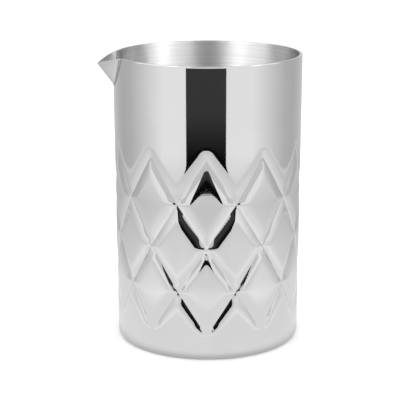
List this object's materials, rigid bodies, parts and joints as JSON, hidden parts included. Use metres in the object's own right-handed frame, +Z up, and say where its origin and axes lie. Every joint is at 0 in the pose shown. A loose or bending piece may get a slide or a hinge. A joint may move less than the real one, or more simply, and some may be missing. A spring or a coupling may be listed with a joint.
{
  "type": "mixing tin",
  "caption": "Double-walled polished steel mixing tin: tapered cylinder with a pressed diamond lattice, plain brushed liner, rounded lip and a pointed pouring beak at the rim.",
  "frame": {"origin": "centre of the flat base the tin stands on, on the tin's axis", "axes": "+Z up along the tin's axis, -X towards the tip of the pouring beak"},
  "size_m": [0.0977, 0.09, 0.1384],
  "materials": {
    "polished_steel": "mirror polished stainless steel",
    "brushed_steel": "circumferentially brushed stainless steel",
    "base_steel": "satin stainless steel",
    "seam_steel": "ground weld seam"
  },
  "bodies": {
    "root": {"outer_shell": "polished_steel", "inner_cup": "brushed_steel", "base_plate": "base_steel", "base_weld": "seam_steel", "rim_weld": "polished_steel", "spout": "polished_steel", "spout_weld": "seam_steel"}
  },
  "joints": []
}
